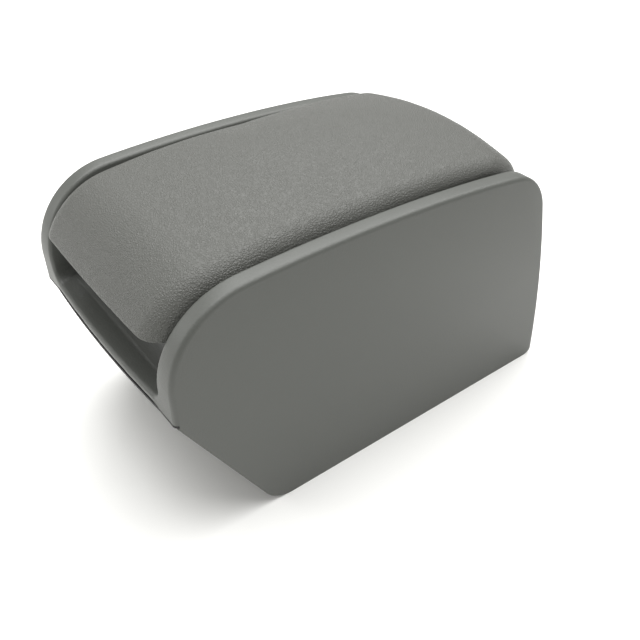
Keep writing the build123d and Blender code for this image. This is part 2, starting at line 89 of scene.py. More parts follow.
# How finely the curves are divided
ARC_POINTS = 40
CREST_POINTS = 80
LID_SECTIONS = 121
SIDE_STEPS = 8
SHOULDER_STEPS = 10
CROWN_STEPS = 22
SCREW_SIDES = 24

# Rings of the turned leather: share of the way in to the hem's edge, and drop in thicknesses of leather
HEM_RINGS = ((0.15, 0.9), (1, 1), (1, -0.4))

# Edges of the leather that lie lower than this under the lid aren't rolled
ROLL_DEPTH = 0.3 * MM

# Faces of the mat whose normals rise less than this are its walls, and pips this near its top stand on it
WALL_RISE = 0.5
ON_TOP = 0.1 * MM

# A screw: its tip in shank radii, and its head from the rim to the top in head radii and head heights
TIP_SHARE = 0.35
HEAD_PROFILE = ((1, 0), (1, 0.45), (0.9, 0.8), (0.68, 1))

# The cross recess: reach and half width of an arm in head radii, its taper, and its floor in head heights
RECESS_ARM = 0.52
RECESS_HALF = 0.13
RECESS_TAPER = 0.6
RECESS_FLOOR = 0.25

# Soft lights: place, point that they aim at, side in metres and power in watts
LAMPS = {
    "overhead_softbox": ((-0.2, 0.3, 1.5), (0, 0, 0), 2.2, 58.0),
    "front_softbox": ((-0.7, -0.9, 0.55), (0, -0.1, 0.1), 0.6, 3.0),
}

# Width of the camera's frame in millimetres
SENSOR_WIDTH = 36.0


def linear(code):
    """Linear colour, with its alpha, of an sRGB hex code."""
    shares = [int(code[place : place + 2], 16) / 255 for place in (1, 3, 5)]
    return [s / 12.92 if s <= 0.04045 else ((s + 0.055) / 1.055) ** 2.4 for s in shares] + [1.0]


def length(label, hint, value):
    """A size in metres that a user may change."""
    return FloatProperty(
        name=label, description=hint, default=value, unit="LENGTH", subtype="DISTANCE", precision=5
    )


def angle(label, hint, value):
    """An angle that a user may change, given here in degrees."""
    return FloatProperty(
        name=label, description=hint, default=radians(value), unit="ROTATION", subtype="ANGLE"
    )


def number(label, hint, value):
    """A plain number that a user may change."""
    return FloatProperty(name=label, description=hint, default=value, min=0, precision=4)


def colour(label, hint, code):
    """A colour that a user may change, given here as an sRGB hex code."""
    return FloatVectorProperty(
        name=label, description=hint, default=linear(code), size=4, min=0, max=1, subtype="COLOR"
    )


class ArmrestLid(PropertyGroup):
    """Sizes of the padded lid and of what is under it."""

    half_width: length("Half width", "Half the lid's width at its sides", lid_high.x)
    front: length("Front reach", "Distance from the middle to the front edge", -lid_low.y)
    rear: length("Rear reach", "Distance from the middle to the rear edge", lid_high.y)
    base: length("Underside", "Height of the lid's underside", lid_low.z)
    edge: length("Front edge lift", "Height of the front edge above the underside", 1.5 * MM)
    front_rise: angle("Front rise", "Slope of the crown at the front edge", 66)
    front_radius: length("Front radius", "Radius of the crown behind the front edge", 56 * MM)
    crest_slope: angle("Crest slope", "Slope at both ends of the long crest", 9.4)
    rear_radius: length("Rear radius", "Radius of the crown at the rear", 30.5 * MM)
    rear_straight: length("Rear straight", "Height of the straight part of the rear end", 6 * MM)
    root_front: length("Front root", "Where the front sections start on the underside", -lid_low.y - 38 * MM)
    root_rear: length("Rear root", "Where the rear sections start on the underside", lid_high.y - 36 * MM)
    sag: length("Crown rise", "Rise of the crown from the sides to the middle", 10.6 * MM)
    shoulder: length("Shoulder", "Rounding of the leather over the sides", 14.3 * MM)
    end_bow: length("End bow", "Bow of the front and rear edges", 1.5 * MM)
    end_corner: length("End corner", "Rounding of the corners seen from above", 15 * MM)
    front_blend: number("Front blend", "Share of the crown over which the front takes on its full arch", 0.5)
    rear_blend: number("Rear blend", "Share of the crown over which the rear takes on its full arch", 0.12)
    hem: length("Front hem", "Width of the leather turned under at the front", 28 * MM)
    side_hem: length("Side hem", "Width of the leather turned under elsewhere", 2.4 * MM)
    leather: length("Leather", "Thickness of the turned leather", 0.9 * MM)
    edge_roll: length("Edge roll", "Rounding of the leather where it turns under", 1.2 * MM)
    softness: length("Softness", "Depth of the slow unevenness of leather over foam", 0.16 * MM)
    soft_spread: length("Soft spread", "Width of the slow unevenness", 26 * MM)
    soft_height: length("Soft height", "Height above the underside where the unevenness starts", 4 * MM)
    staples: IntProperty(name="Staples", description="Staples along the front hem", default=9, min=2)
    staple_crown: length("Staple crown", "Length of a staple", 10 * MM)
    staple_wire: length("Staple wire", "Radius of a staple's wire", 0.4 * MM)
    staple_margin: length("Staple margin", "Distance from the last staple's middle to the side", 14 * MM)
    staple_inset: length("Staple inset", "Distance from the staples to the hem's inner edge", 5 * MM)
    staple_level: number("Staple level", "Depth of the staples in thicknesses of leather", 0.85)


class ArmrestFinish(PropertyGroup):
    """Colours and grain sizes of the finishes."""

    leather: colour("Leather", "Coated leather of the lid", "#535450")
    shell: colour("Shell", "Moulded plastic of the shell", "#4e504c")
    bin: colour("Bin", "Moulded plastic of the bin and the lid's underside", "#26272a")
    rubber: colour("Rubber", "Seal, mat and stops", "#1a1a1b")
    coat: colour("Coat", "Coated steel of the base plate and the staples", "#232426")
    zinc: colour("Zinc", "Zinc plate of the hinge, catch and screws", "#c3c5c8")
    foam: colour("Foam", "Foam of the pad", "#dcd3b4")
    pebble: length("Pebble", "Width of a pebble of the leather's grain", 1.5 * MM)
    shell_grain: length("Shell grain", "Width of the shell's moulded grain", 1.1 * MM)
    shell_depth: length("Shell grain depth", "Depth of the shell's moulded grain", 0.16 * MM)
    shell_rough: number("Shell roughness", "Mean roughness of the shell", 0.46)
    bin_grain: length("Bin grain", "Width of the bin's moulded grain", 0.9 * MM)
    bin_depth: length("Bin grain depth", "Depth of the bin's moulded grain", 0.05 * MM)
    bin_rough: number("Bin roughness", "Mean roughness of the bin", 0.56)
    rounding: length("Edge rounding", "Rounding of moulded edges", 0.6 * MM)
    metal_rounding: length("Metal rounding", "Rounding of cut and pressed metal edges", 0.25 * MM)


class ArmrestFittings(PropertyGroup):
    """Sizes of the screws and of the mat's pips."""

    head_radius: length("Head radius", "Radius of a screw's pan head", 3.2 * MM)
    head_height: length("Head height", "Height of a screw's pan head", 1.2 * MM)
    shank_radius: length("Shank radius", "Radius of a screw's shank", 1.5 * MM)
    pip_pitch: length("Pip pitch", "Distance between the mat's pips", 6 * MM)
    pip_radius: length("Pip radius", "Radius of one of the mat's pips", 1.5 * MM)
    pip_rise: number("Pip rise", "Height of a pip as a share of its radius", 0.45)
    pip_margin: length("Pip margin", "Distance from the pips to the mat's edges", 2.2 * MM)


class ArmrestStage(PropertyGroup):
    """Camera, floor and room."""

    target: FloatVectorProperty(
        name="Target",
        description="Point that the camera goes round",
        default=(0, 0, 0.09),
        subtype="XYZ",
        unit="LENGTH",
    )
    azimuth: angle("Azimuth", "Turn of the camera round the armrest from its front", 52.94)
    elevation: angle("Elevation", "Angle of the camera above the horizon", 38.68)
    distance: length("Distance", "Distance from the camera to its target", 0.5481)
    slide: FloatVectorProperty(
        name="Slide",
        description="Shift of the camera to its right and up",
        default=(0.0087, -0.03251),
        size=2,
        unit="LENGTH",
    )
    lens: number("Lens", "Focal length in millimetres on a 36 mm frame", 43.55)
    floor: colour("Floor", "Pale floor", "#f4f4f2")
    floor_reach: length("Floor reach", "Distance from the middle to the floor's edges", 3.0)
    room: FloatVectorProperty(
        name="Room",
        description="Light of the room",
        default=(1.0, 0.99, 0.97, 1.0),
        size=4,
        min=0,
        max=1,
        subtype="COLOR",
    )
    room_strength: number("Room strength", "Strength of the room's light", 0.48)


def add_node(tree, kind, inputs=(), **settings):
    """Adds a node with its settings; each of its inputs is a value or another node's socket."""
    made = tree.nodes.new(kind)
    for name, value in settings.items():
        setattr(made, name, value)
    for key, value in dict(inputs).items():
        if isinstance(value, bpy.types.NodeSocket):
            tree.links.new(value, made.inputs[key])
        else:
            made.inputs[key].default_value = value
    return made


def new_material(name):
    """A new material, with its tree, its shader and the place on the piece."""
    made = bpy.data.materials.new(name)
    made.use_nodes = True
    tree = made.node_tree
    place = add_node(tree, "ShaderNodeTexCoord").outputs["Object"]
    return made, tree, tree.nodes["Principled BSDF"], place


def shaded(shade, factor):
    """A colour made darker or lighter by a factor."""
    return [channel * factor for channel in shade[:3]] + [1.0]


def tinted(tree, place, shade, spread, strength):
    """A colour that drifts slowly over the surface, a little darker and lighter than the shade."""
    drift = add_node(tree, "ShaderNodeTexNoise", {"Vector": place, "Scale": 1 / spread, "Detail": 2.0})
    mix = add_node(
        tree,
        "ShaderNodeMix",
        {"Factor": drift.outputs["Fac"], "A": shaded(shade, 1 - strength), "B": shaded(shade, 1 + strength)},
        data_type="RGBA",
    )
    return mix.outputs["Result"]


def add_skin(tree, shader, body, height, strength, depth, gloss, rough):
    """Joins a colour, a bump of a strength and depth, and a gloss in a range of roughness to a shader."""
    bump = add_node(tree, "ShaderNodeBump", {"Height": height, "Strength": strength, "Distance": depth})
    sheen = add_node(tree, "ShaderNodeMapRange", {"Value": gloss, "To Min": rough[0], "To Max": rough[1]})
    tree.links.new(body, shader.inputs["Base Color"])
    tree.links.new(sheen.outputs["Result"], shader.inputs["Roughness"])
    tree.links.new(bump.outputs["Normal"], shader.inputs["Normal"])


def coated_leather(shade, pebble):
    """Coated leather, embossed: soft pebbles, painted shade in the thin creases and a low sheen that breaks
    up on them.
    """
    made, tree, shader, place = new_material("pebble_grain_coated_leather")
    wander = add_node(tree, "ShaderNodeTexNoise", {"Vector": place, "Scale": 0.5 / pebble, "Detail": 2.0})
    bent = add_node(
        tree,
        "ShaderNodeVectorMath",
        {0: wander.outputs["Color"], 1: (1.1 * pebble,) * 3, 2: place},
        operation="MULTIPLY_ADD",
    )
    cells = add_node(
        tree,
        "ShaderNodeTexVoronoi",
        {"Vector": bent.outputs["Vector"], "Scale": 1 / pebble, "Randomness": 0.9},
        feature="DISTANCE_TO_EDGE",
    )
    swell = add_node(
        tree,
        "ShaderNodeMapRange",
        {"Value": cells.outputs["Distance"], "From Max": 0.3},
        interpolation_type="SMOOTHSTEP",
    ).outputs["Result"]
    pores = add_node(
        tree, "ShaderNodeTexNoise", {"Vector": place, "Scale": 3 / pebble, "Detail": 1.0}
    ).outputs["Fac"]
    height = add_node(tree, "ShaderNodeMath", {0: pores, 1: 0.25, 2: swell}, operation="MULTIPLY_ADD")
    body = tinted(tree, place, shade, spread=45 * MM, strength=0.03)
    # Painted shade: the thin creases between the pebbles are coloured darker, standing in for the shade that
    # falls in them
    painted_shade = shaded(shade, factor=0.93)
    painted_crease_shade = add_node(tree, "ShaderNodeMix", {"Factor": swell, "A": painted_shade, "B": body}, data_type="RGBA")
    add_skin(
        tree,
        shader,
        painted_crease_shade.outputs["Result"],
        height.outputs["Value"],
        strength=0.95,
        depth=0.24 * MM,
        gloss=pores,
        rough=(0.38, 0.52),
    )
    shader.inputs["IOR"].default_value = 1.48
    return made


def moulded_plastic(name, shade, grain, depth, rough):
    """Moulded ABS with an etched grain: an even matt skin whose fine dimples only sparkle faintly."""
    made, tree, shader, place = new_material(name)
    cells = add_node(
        tree, "ShaderNodeTexVoronoi", {"Vector": place, "Scale": 1 / grain}, feature="SMOOTH_F1"
    ).outputs["Distance"]
    fine = add_node(
        tree, "ShaderNodeTexNoise", {"Vector": place, "Scale": 1.6 / grain, "Detail": 2.0}
    ).outputs["Fac"]
    height = add_node(tree, "ShaderNodeMath", {0: fine, 1: 0.6, 2: cells}, operation="MULTIPLY_ADD")
    body = tinted(tree, place, shade, spread=70 * MM, strength=0.025)
    swing = 0.06
    add_skin(
        tree,
        shader,
        body,
        height.outputs["Value"],
        strength=0.4,
        depth=depth,
        gloss=fine,
        rough=(rough - swing, rough + swing),
    )
    shader.inputs["IOR"].default_value = 1.52
    return made


def moulded_rubber(shade):
    """Moulded rubber: near black and dull, with a faint bloom in slow patches."""
    made, tree, shader, place = new_material("moulded_black_rubber")
    bloom = add_node(
        tree, "ShaderNodeTexNoise", {"Vector": place, "Scale": 1 / (9 * MM), "Detail": 4.0}
    ).outputs["Fac"]
    skin = add_node(
        tree, "ShaderNodeTexNoise", {"Vector": place, "Scale": 1 / (0.7 * MM), "Detail": 1.0}
    ).outputs["Fac"]
    body = tinted(tree, place, shade, spread=12 * MM, strength=0.2)
    add_skin(tree, shader, body, skin, strength=0.3, depth=0.05 * MM, gloss=bloom, rough=(0.62, 0.82))
    shader.inputs["IOR"].default_value = 1.52
    return made


def coated_steel(shade):
    """Pressed steel under a baked black coat: a satin skin with a slight orange peel."""
    made, tree, shader, place = new_material("black_coated_steel")
    peel = add_node(
        tree, "ShaderNodeTexNoise", {"Vector": place, "Scale": 1 / (1.8 * MM), "Detail": 1.0}
    ).outputs["Fac"]
    body = tinted(tree, place, shade, spread=40 * MM, strength=0.08)
    add_skin(tree, shader, body, peel, strength=0.25, depth=0.06 * MM, gloss=peel, rough=(0.34, 0.46))
    return made


def zinc_plate(shade):
    """Bright zinc on steel: silvery, with small dull and bright patches and fine rolling lines along X."""
    made, tree, shader, place = new_material("bright_zinc_plate")
    patches = add_node(
        tree, "ShaderNodeTexNoise", {"Vector": place, "Scale": 1 / (3 * MM), "Detail": 3.0}
    ).outputs["Fac"]
    stretched = add_node(
        tree, "ShaderNodeVectorMath", {0: place, 1: (0.06, 1.0, 1.0)}, operation="MULTIPLY"
    ).outputs["Vector"]
    lines = add_node(
        tree, "ShaderNodeTexNoise", {"Vector": stretched, "Scale": 1 / (0.5 * MM), "Detail": 1.0}
    ).outputs["Fac"]
    body = tinted(tree, place, shade, spread=5 * MM, strength=0.08)
    add_skin(tree, shader, body, lines, strength=0.15, depth=0.02 * MM, gloss=patches, rough=(0.24, 0.44))
    shader.inputs["Metallic"].default_value = 1.0
    return made


def open_foam(shade):
    """Moulded open-cell foam: pale and dull, with painted shade in its small pores."""
    made, tree, shader, place = new_material("open_cell_foam")
    pores = add_node(
        tree, "ShaderNodeTexVoronoi", {"Vector": place, "Scale": 1 / (1.2 * MM)}
    ).outputs["Distance"]
    bump = add_node(
        tree, "ShaderNodeBump", {"Height": pores, "Strength": 0.6, "Distance": 0.3 * MM}, invert=True
    )
    # Painted shade: the small pores are coloured darker, standing in for the shade inside them
    painted_shade = shaded(shade, factor=0.6)
    mix = add_node(tree, "ShaderNodeMix", {"Factor": pores, "A": painted_shade, "B": shade}, data_type="RGBA")
    tree.links.new(mix.outputs["Result"], shader.inputs["Base Color"])
    tree.links.new(bump.outputs["Normal"], shader.inputs["Normal"])
    shader.inputs["Roughness"].default_value = 0.95
    return made


def finish_named(slot):
    """The material of one of the record's slots, made the first time that it is asked for."""
    finish = bpy.context.scene.armrest_finish
    shell = (finish.shell, finish.shell_grain, finish.shell_depth, finish.shell_rough)
    tub = (finish.bin, finish.bin_grain, finish.bin_depth, finish.bin_rough)
    makers = {
        "lid_leather": (coated_leather, finish.leather, finish.pebble),
        "shell_plastic": (moulded_plastic, "grained_grey_abs", *shell),
        "bin_plastic": (moulded_plastic, "grained_black_abs", *tub),
        "black_rubber": (moulded_rubber, finish.rubber),
        "plate_steel": (coated_steel, finish.coat),
        "zinc_steel": (zinc_plate, finish.zinc),
        "pad_foam": (open_foam, finish.foam),
    }
    for made in bpy.data.materials:
        if made.get("armrest_slot") == slot:
            return made
    maker, *values = makers[slot]
    made = maker(*values)
    made["armrest_slot"] = slot
    return made


def settle(piece, node, slot):
    """Lets a finished piece stand for a CAD node: it rides on its body and takes the slot's finish."""
    if not piece.data.materials:
        piece.data.materials.append(finish_named(slot))
    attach(piece, frame["nodes"][node]["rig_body"])
    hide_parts(node)


def new_piece(name, form):
    """A new object with the mesh of a bmesh, smoothly shaded."""
    mesh = bpy.data.meshes.new(name)
    form.to_mesh(mesh)
    form.free()
    mesh.shade_smooth()
    piece = bpy.data.objects.new(name, mesh)
    bpy.context.scene.collection.objects.link(piece)
    return piece


def merged_copy(node):
    """A bmesh of a CAD node's mesh with its corners merged and its flat faces joined."""
    form = bmesh.new()
    form.from_mesh(frame["nodes"][node].data)
    bmesh.ops.remove_doubles(form, verts=form.verts, dist=CAD_MERGE)
    bmesh.ops.dissolve_limit(form, angle_limit=FLAT_ANGLE, verts=form.verts, edges=form.edges)
    return form


def round_off(piece, rounding):
    """Rounds the sharp edges of a rigid piece, and keeps its flat faces flat."""
    bevel = piece.modifiers.new("Rounded edges", "BEVEL")
    bevel.limit_method = "ANGLE"
    bevel.angle_limit = SHARP_ANGLE
    bevel.width = rounding
    bevel.segments = 2
    bevel.harden_normals = True
    bevel.use_clamp_overlap = True


def refined(node, slot, rounding):
    """Makes a rigid CAD node a piece with merged corners, rounded edges and smooth curves."""
    piece = new_piece(node + "_finished", merged_copy(node))
    piece.data.set_sharp_from_angle(angle=SHARP_ANGLE)
    round_off(piece, rounding)
    settle(piece, node, slot)


def new_tree(name, inputs):
    """A Geometry Nodes tree with a geometry in and out and these named inputs, and the inputs' sockets."""
    tree = bpy.data.node_groups.new(name, "GeometryNodeTree")
    tree.interface.new_socket("Geometry", in_out="INPUT", socket_type="NodeSocketGeometry")
    for label, kind in inputs.items():
        tree.interface.new_socket(label, in_out="INPUT", socket_type=kind)
    tree.interface.new_socket("Geometry", in_out="OUTPUT", socket_type="NodeSocketGeometry")
    return tree, add_node(tree, "NodeGroupInput").outputs


def end_tree(tree, copies, material):
    """Ends a tree: its copies are made real and get their material."""
    real = add_node(tree, "GeometryNodeRealizeInstances", {"Geometry": copies})
    painted = add_node(
        tree, "GeometryNodeSetMaterial", {"Geometry": real.outputs["Geometry"], "Material": material}
    )
    add_node(tree, "NodeGroupOutput", {"Geometry": painted.outputs["Geometry"]})
    return tree


def grown(name, seed_mesh, tree, values):
    """The piece that a tree grows from a seed mesh with these values of its inputs, as a plain mesh."""
    piece = bpy.data.objects.new(name, seed_mesh)
    bpy.context.scene.collection.objects.link(piece)
    grower = piece.modifiers.new(tree.name, "NODES")
    grower.node_group = tree
    for item in tree.interface.items_tree:
        if item.in_out == "INPUT" and item.name in values:
            grower[item.identifier] = values[item.name]
    evaluated = piece.evaluated_get(bpy.context.evaluated_depsgraph_get())
    mesh = bpy.data.meshes.new_from_object(evaluated)
    if not mesh.polygons:
        raise RuntimeError(f"{name} grew no faces")
    piece.modifiers.remove(grower)
    piece.data = mesh
    return piece


def smooth_share(share):
    """A share from 0 to 1, eased at both ends."""
    share = min(max(share, 0), 1)
    return share * share * (3 - 2 * share)


def crown_line(lid, count):
    """Evenly spaced (y, z) points along the lid's crown, from its front edge over the crest to its rear."""
    turn = np.linspace(lid.front_rise, lid.crest_slope, ARC_POINTS)[:, None]
    nose_centre = np.array(
        (
            lid.front_radius * sin(lid.front_rise) - lid.front,
            lid.base + lid.edge - lid.front_radius * cos(lid.front_rise),
        )
    )
    nose = nose_centre + lid.front_radius * np.hstack((-np.sin(turn), np.cos(turn)))
    lean = np.linspace(pi / 2 - lid.crest_slope, 0, ARC_POINTS)[:, None]
    rear_centre = np.array((lid.rear - lid.rear_radius, lid.base + lid.rear_straight))
    rear = rear_centre + lid.rear_radius * np.hstack((np.cos(lean), np.sin(lean)))
    chord = np.linalg.norm(rear[0] - nose[-1])
    leave = chord * np.array((cos(lid.crest_slope), sin(lid.crest_slope)))
    arrive = chord * np.array((cos(lid.crest_slope), -sin(lid.crest_slope)))
    t = np.linspace(0, 1, CREST_POINTS)[1:-1, None]
    crest = (
        (2 * t**3 - 3 * t**2 + 1) * nose[-1]
        + (t**3 - 2 * t**2 + t) * leave
        + (3 * t**2 - 2 * t**3) * rear[0]
        + (t**3 - t**2) * arrive
    )
    line = np.vstack((nose, crest, rear, ((lid.rear, lid.base),)))
    along = np.concatenate(((0,), np.cumsum(np.linalg.norm(np.diff(line, axis=0), axis=1))))
    places = np.linspace(0, along[-1], count)
    return np.column_stack((np.interp(places, along, line[:, 0]), np.interp(places, along, line[:, 1])))


def arched_section(half, height, sag, corner):
    """(x, h) points of an arched section from the foot of one side over the crown to the other foot."""
    arch = (half * half + sag * sag) / (2 * sag)
    low = height - arch
    round_x = half - corner
    round_h = low + sqrt((arch - corner) ** 2 - round_x * round_x)
    meet = atan2(round_h - low, round_x)
    side = [(half, round_h * step / SIDE_STEPS) for step in range(SIDE_STEPS)]
    turns = [meet * step / SHOULDER_STEPS for step in range(SHOULDER_STEPS)]
    curve = [(round_x + corner * cos(turn), round_h + corner * sin(turn)) for turn in turns]
    rises = [meet + (pi / 2 - meet) * step / CROWN_STEPS for step in range(CROWN_STEPS + 1)]
    crown = [(arch * cos(rise), low + arch * sin(rise)) for rise in rises]
    right = side + curve + crown
    return right + [(-x, h) for x, h in reversed(right[:-1])]


def lid_rows(form, lid):
    """Rows of new corners of the lid's leather, one for each arched section along the crown."""
    rows = []
    crown = crown_line(lid, LID_SECTIONS)
    for index, (crest_y, crest_z) in enumerate(crown):
        share = index / (len(crown) - 1)
        root_y = share * (lid.root_front + lid.root_rear) - lid.root_front
        reach_y, reach_z = crest_y - root_y, crest_z - lid.base
        height = hypot(reach_y, reach_z)
        full = min(1, (share / lid.front_blend) ** 2, smooth_share((1 - share) / lid.rear_blend))
        sag = lid.end_bow + (lid.sag - lid.end_bow) * full
        corner = lid.end_corner + (lid.shoulder - lid.end_corner) * full
        rows.append(
            [
                form.verts.new((x, root_y + reach_y * h / height, lid.base + reach_z * h / height))
                for x, h in arched_section(lid.half_width, height, sag, corner)
            ]
        )
    return rows


def lid_form(lid):
    """A bmesh of the lid's leather: arched sections along the crown, rolled under into a hem."""
    form = bmesh.new()
    rows = lid_rows(form, lid)
    for low, high in zip(rows, rows[1:]):
        for a, b, c, d in zip(low, low[1:], high[1:], high):
            form.faces.new((a, b, c, d))
    rim = rows[0] + [row[-1] for row in rows[1:-1]] + rows[-1][::-1] + [row[0] for row in rows[-2:0:-1]]
    turned = [rim]
    for share, drop in HEM_RINGS:
        ring = []
        for vert in rim:
            x, y, z = vert.co
            inner_x = min(max(x, lid.side_hem - lid.half_width), lid.half_width - lid.side_hem)
            inner_y = min(max(y, lid.hem - lid.front), lid.rear - lid.side_hem)
            level = z if share < 1 else lid.base
            depth = 0 if y > lid.root_rear else drop * lid.leather
            ring.append(
                form.verts.new((x + (inner_x - x) * share, y + (inner_y - y) * share, level - depth))
            )
        turned.append(ring)
    for outer, inner in zip(turned, turned[1:]):
        count = len(outer)
        for index in range(count):
            after = (index + 1) % count
            form.faces.new((outer[after], outer[index], inner[index], inner[after]))
    form.faces.new(turned[-1])
    bmesh.ops.remove_doubles(form, verts=form.verts, dist=LEATHER_MERGE)
    bmesh.ops.recalc_face_normals(form, faces=form.faces)
    return form


class ARMREST_OT_upholster_lid(Operator):
    """Stretch the leather over the lid's foam and turn it under"""

    bl_idname = "armrest.upholster_lid"
    bl_label = "Upholster lid"

    def execute(self, context):
        lid = context.scene.armrest_lid
        form = lid_form(lid)
        bent = [edge for edge in form.edges if edge.is_manifold and edge.calc_face_angle() > CREASE_ANGLE]
        rolled = [edge for edge in bent if edge.verts[0].co.z > lid.base - ROLL_DEPTH]
        bmesh.ops.bevel(form, geom=rolled, offset=lid.edge_roll, segments=3, profile=0.5, affect="EDGES")
        form.normal_update()
        for vert in form.verts:
            if vert.co.z > lid.base + lid.soft_height:
                vert.co += vert.normal * lid.softness * noise.noise(vert.co / lid.soft_spread)
        pad = new_piece("lid_pad", form)
        settle(pad, "lid_cover", "lid_leather")
        return {"FINISHED"}


def staple_tree():
    """A tree that sets staples along an edge."""
    tree, given = new_tree(
        "Hem staples",
        {"Staples": "NodeSocketInt", "Crown": "NodeSocketFloat", "Wire": "NodeSocketFloat"},
    )
    line = add_node(tree, "GeometryNodeMeshToCurve", {"Mesh": given["Geometry"]})
    spots = add_node(
        tree, "GeometryNodeResampleCurve", {"Curve": line.outputs["Curve"], "Count": given["Staples"]}
    )
    wire = add_node(
        tree,
        "GeometryNodeCurvePrimitiveLine",
        {"Direction": (1, 0, 0), "Length": given["Crown"]},
        mode="DIRECTION",
    )
    thick = add_node(tree, "GeometryNodeCurvePrimitiveCircle", {"Resolution": 8, "Radius": given["Wire"]})
    crown = add_node(
        tree,
        "GeometryNodeCurveToMesh",
        {"Curve": wire.outputs["Curve"], "Profile Curve": thick.outputs["Curve"], "Fill Caps": True},
    )
    copies = add_node(
        tree,
        "GeometryNodeInstanceOnPoints",
        {"Points": spots.outputs["Curve"], "Instance": crown.outputs["Mesh"]},
    )
    return end_tree(tree, copies.outputs["Instances"], finish_named("plate_steel"))


class ARMREST_OT_finish_lid_inside(Operator):
    """Finish the foam, the carrier and the inner panel, and staple the hem"""

    bl_idname = "armrest.finish_lid_inside"
    bl_label = "Finish lid inside"

    def execute(self, context):
        lid = context.scene.armrest_lid
        rounding = context.scene.armrest_finish.rounding
        refined("foam_pad", "pad_foam", 2 * rounding)
        refined("lid_carrier", "bin_plastic", rounding / 2)
        refined("lid_inner_panel", "bin_plastic", rounding)
        spread = lid.half_width - lid.staple_margin
        row_y = lid.hem - lid.front - lid.staple_inset
        level = lid.base - lid.staple_level * lid.leather
        ends = [(side * spread - lid.staple_crown / 2, row_y, level) for side in (-1, 1)]
        seed = bpy.data.meshes.new("hem_staples")
        seed.from_pydata(ends, [(0, 1)], [])
        values = {"Staples": lid.staples, "Crown": lid.staple_crown, "Wire": lid.staple_wire}
        staples = grown("hem_staples", seed, staple_tree(), values)
        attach(staples, "lid")
        return {"FINISHED"}


class ARMREST_OT_mould_shell(Operator):
    """Mould the shell with its cheeks, scoop and lip, and fit the seal under the lip"""

    bl_idname = "armrest.mould_shell"
    bl_label = "Mould shell"

    def execute(self, context):
        finish = context.scene.armrest_finish
        refined("outer_shell", "shell_plastic", finish.rounding)
        refined("lip_seal", "black_rubber", finish.metal_rounding)
        return {"FINISHED"}


def pip_tree():
    """A tree that sets pips on the top of a mat, in a grid that keeps clear of its edges and holes."""
    tree, given = new_tree(
        "Mat pips",
        {
            "Long": "NodeSocketInt",
            "Wide": "NodeSocketInt",
            "Pitch": "NodeSocketFloat",
            "Radius": "NodeSocketFloat",
            "Rise": "NodeSocketFloat",
            "Margin": "NodeSocketFloat",
            "Middle": "NodeSocketVector",
        },
    )
    reach = [
        add_node(tree, "ShaderNodeMath", {0: given[side], 1: given["Pitch"]}, operation="MULTIPLY")
        for side in ("Wide", "Long")
    ]
    grid = add_node(
        tree,
        "GeometryNodeMeshGrid",
        {
            "Size X": reach[0].outputs["Value"],
            "Size Y": reach[1].outputs["Value"],
            "Vertices X": given["Wide"],
            "Vertices Y": given["Long"],
        },
    )
    spots = add_node(
        tree, "GeometryNodeTransform", {"Geometry": grid.outputs["Mesh"], "Translation": given["Middle"]}
    )
    normal = add_node(tree, "GeometryNodeInputNormal")
    upright = add_node(tree, "ShaderNodeSeparateXYZ", {0: normal.outputs["Normal"]})
    is_wall = add_node(
        tree, "FunctionNodeCompare", {"A": upright.outputs["Z"], "B": WALL_RISE}, operation="LESS_THAN"
    )
    walls = add_node(
        tree,
        "GeometryNodeSeparateGeometry",
        {"Geometry": given["Geometry"], "Selection": is_wall.outputs["Result"]},
        domain="FACE",
    )
    gaps = [
        add_node(tree, "GeometryNodeProximity", {"Geometry": walls.outputs[name]}, target_element="FACES")
        for name in ("Selection", "Inverted")
    ]
    clear = add_node(
        tree,
        "FunctionNodeCompare",
        {"A": gaps[0].outputs["Distance"], "B": given["Margin"]},
        operation="GREATER_THAN",
    )
    on_top = add_node(
        tree, "FunctionNodeCompare", {"A": gaps[1].outputs["Distance"], "B": ON_TOP}, operation="LESS_THAN"
    )
    both = add_node(
        tree,
        "FunctionNodeBooleanMath",
        {0: clear.outputs["Result"], 1: on_top.outputs["Result"]},
        operation="AND",
    )
    ball = add_node(
        tree, "GeometryNodeMeshUVSphere", {"Segments": 10, "Rings": 6, "Radius": given["Radius"]}
    )
    squash = add_node(tree, "ShaderNodeCombineXYZ", {"X": 1.0, "Y": 1.0, "Z": given["Rise"]})
    low = add_node(
        tree,
        "GeometryNodeTransform",
        {"Geometry": ball.outputs["Mesh"], "Scale": squash.outputs["Vector"]},
    )
    pips = add_node(
        tree,
        "GeometryNodeInstanceOnPoints",
        {
            "Points": spots.outputs["Geometry"],
            "Selection": both.outputs["Boolean"],
            "Instance": low.outputs["Geometry"],
        },
    )
    with_mat = add_node(tree, "GeometryNodeJoinGeometry")
    tree.links.new(pips.outputs["Instances"], with_mat.inputs["Geometry"])
    tree.links.new(given["Geometry"], with_mat.inputs["Geometry"])
    return end_tree(tree, with_mat.outputs["Geometry"], finish_named("black_rubber"))


class ARMREST_OT_fit_bin(Operator):
    """Fit the storage bin with its pipped mat and its rubber stops"""

    bl_idname = "armrest.fit_bin"
    bl_label = "Fit bin"

    def execute(self, context):
        finish = context.scene.armrest_finish
        fittings = context.scene.armrest_fittings
        refined("storage_bin", "bin_plastic", finish.rounding)
        refined("bump_stops", "black_rubber", finish.rounding)
        form = merged_copy("bin_mat")
        seed = bpy.data.meshes.new("bin_mat_finished")
        form.to_mesh(seed)
        form.free()
        low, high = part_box("bin_mat")
        size = high - low
        values = {
            "Long": int(size.y / fittings.pip_pitch),
            "Wide": int(size.x / fittings.pip_pitch),
            "Pitch": fittings.pip_pitch,
            "Radius": fittings.pip_radius,
            "Rise": fittings.pip_rise,
            "Margin": fittings.pip_margin,
            "Middle": ((low.x + high.x) / 2, (low.y + high.y) / 2, high.z),
        }
        mat = grown("bin_mat_finished", seed, pip_tree(), values)
        settle(mat, "bin_mat", "black_rubber")
        return {"FINISHED"}


